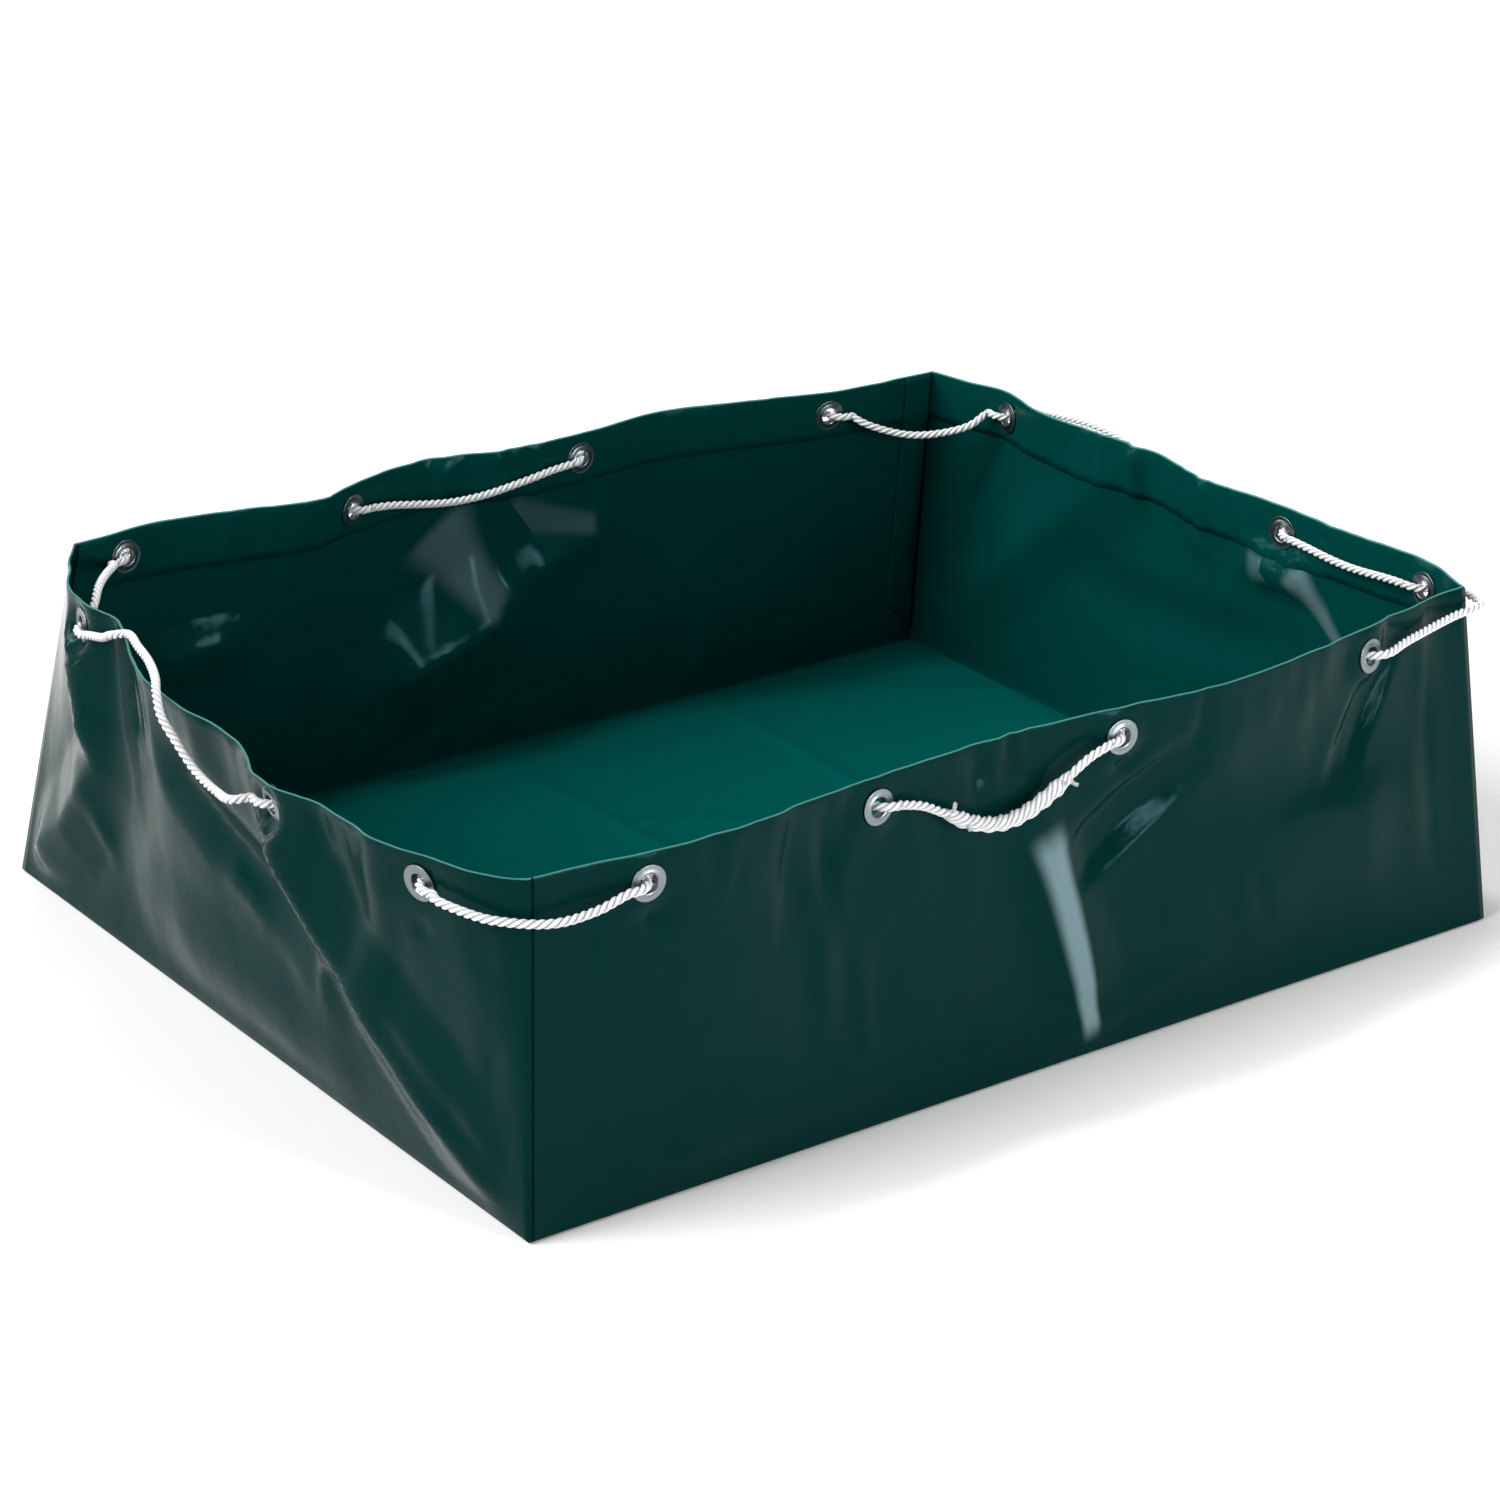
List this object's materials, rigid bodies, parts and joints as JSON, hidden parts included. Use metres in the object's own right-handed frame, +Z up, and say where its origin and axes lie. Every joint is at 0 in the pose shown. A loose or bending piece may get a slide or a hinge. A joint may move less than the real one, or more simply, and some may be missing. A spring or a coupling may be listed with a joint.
{
  "type": "rope storage bag",
  "caption": "Open-topped rectangular cloth tub with a rope laced through metal eyelets under its hemmed rim.",
  "frame": {"origin": "under the middle of the whole tub, on the surface it stands on", "axes": "+X along the longer side, +Y towards the back long wall, +Z up"},
  "size_m": [0.8964, 0.699, 0.2532],
  "materials": {
    "cloth": "glossy PVC coated cloth, dark green",
    "floor_cloth": "glossy PVC coated cloth, dark green",
    "steel": "plated, satin",
    "rope": "white three-strand polyester"
  },
  "bodies": {
    "tub": {"back_hem": "cloth", "back_wall": "cloth", "corner_flap_backLeft": "cloth", "corner_flap_backRight": "cloth", "corner_flap_frontLeft": "cloth", "corner_flap_frontRight": "cloth", "eyelet_back_1": "steel", "eyelet_back_2": "steel", "eyelet_back_3": "steel", "eyelet_back_4": "steel", "eyelet_front_1": "steel", "eyelet_front_2": "steel", "eyelet_front_3": "steel", "eyelet_front_4": "steel", "eyelet_left_1": "steel", "eyelet_left_2": "steel", "eyelet_left_3": "steel", "eyelet_right_1": "steel", "eyelet_right_2": "steel", "eyelet_right_3": "steel", "floor_panel": "floor_cloth", "front_hem": "cloth", "front_wall": "cloth", "left_hem": "cloth", "left_wall": "cloth", "right_hem": "cloth", "right_wall": "cloth", "rope_over_left_rim": "rope", "rope_over_right_rim": "rope", "rope_round_front_left": "rope", "rope_round_front_right": "rope", "rope_thread_back_2": "rope", "rope_thread_back_3": "rope", "rope_thread_front_2": "rope", "rope_thread_front_3": "rope", "washer_back_1": "steel", "washer_back_2": "steel", "washer_back_3": "steel", "washer_back_4": "steel", "washer_front_1": "steel", "washer_front_2": "steel", "washer_front_3": "steel", "washer_front_4": "steel", "washer_left_1": "steel", "washer_left_2": "steel", "washer_left_3": "steel", "washer_right_1": "steel", "washer_right_2": "steel", "washer_right_3": "steel"},
    "span_front_left_inside": {"rope_front_left_inside": "rope"},
    "span_front_right_inside": {"rope_front_right_inside": "rope"},
    "span_right_front_inside": {"rope_right_front_inside": "rope"},
    "span_back_right_outside": {"rope_back_right_outside": "rope"},
    "span_back_middle_inside": {"rope_back_middle_inside": "rope"},
    "span_back_left_outside": {"rope_back_left_outside": "rope"},
    "span_left_front_inside": {"rope_left_front_inside": "rope"},
    "span_front_splice": {"rope_end_left": "rope", "rope_splice": "rope", "rope_end_right": "rope"}
  },
  "joints": [
    {"name": "front_left_inside_swing", "type": "hinge", "parent": "tub", "child": "span_front_left_inside", "pos_m": [-0.297, -0.33145, 0.22515], "axis": [0.9976, 0.0696, -0.002], "range_deg": [0, 120]},
    {"name": "front_right_inside_swing", "type": "hinge", "parent": "tub", "child": "span_front_right_inside", "pos_m": [0.08716, -0.32019, 0.22482], "axis": [0.9983, 0.0588, -0.0051], "range_deg": [0, 120]},
    {"name": "right_front_inside_swing", "type": "hinge", "parent": "tub", "child": "span_right_front_inside", "pos_m": [0.43067, -0.22398, 0.22219], "axis": [-0.0777, 0.9968, 0.0167], "range_deg": [0, 120]},
    {"name": "back_right_outside_swing", "type": "hinge", "parent": "tub", "child": "span_back_right_outside", "pos_m": [0.30276, 0.31161, 0.22458], "axis": [0.995, -0.1002, 0.0002], "range_deg": [0, 90]},
    {"name": "back_middle_inside_swing", "type": "hinge", "parent": "tub", "child": "span_back_middle_inside", "pos_m": [0.07905, 0.31444, 0.22403], "axis": [-0.9995, 0.0292, -0.0124], "range_deg": [0, 120]},
    {"name": "back_left_outside_swing", "type": "hinge", "parent": "tub", "child": "span_back_left_outside", "pos_m": [-0.12705, 0.32668, 0.22253], "axis": [0.9916, -0.1279, 0.0208], "range_deg": [0, 120]},
    {"name": "left_front_inside_swing", "type": "hinge", "parent": "tub", "child": "span_left_front_inside", "pos_m": [-0.42454, -0.12169, 0.22273], "axis": [0.0775, -0.997, 0.009], "range_deg": [0, 120]},
    {"name": "front_splice_swing", "type": "hinge", "parent": "tub", "child": "span_front_splice", "pos_m": [-0.11392, -0.33494, 0.22507], "axis": [-1, -0.0021, 0], "range_deg": [0, 150]}
  ]
}
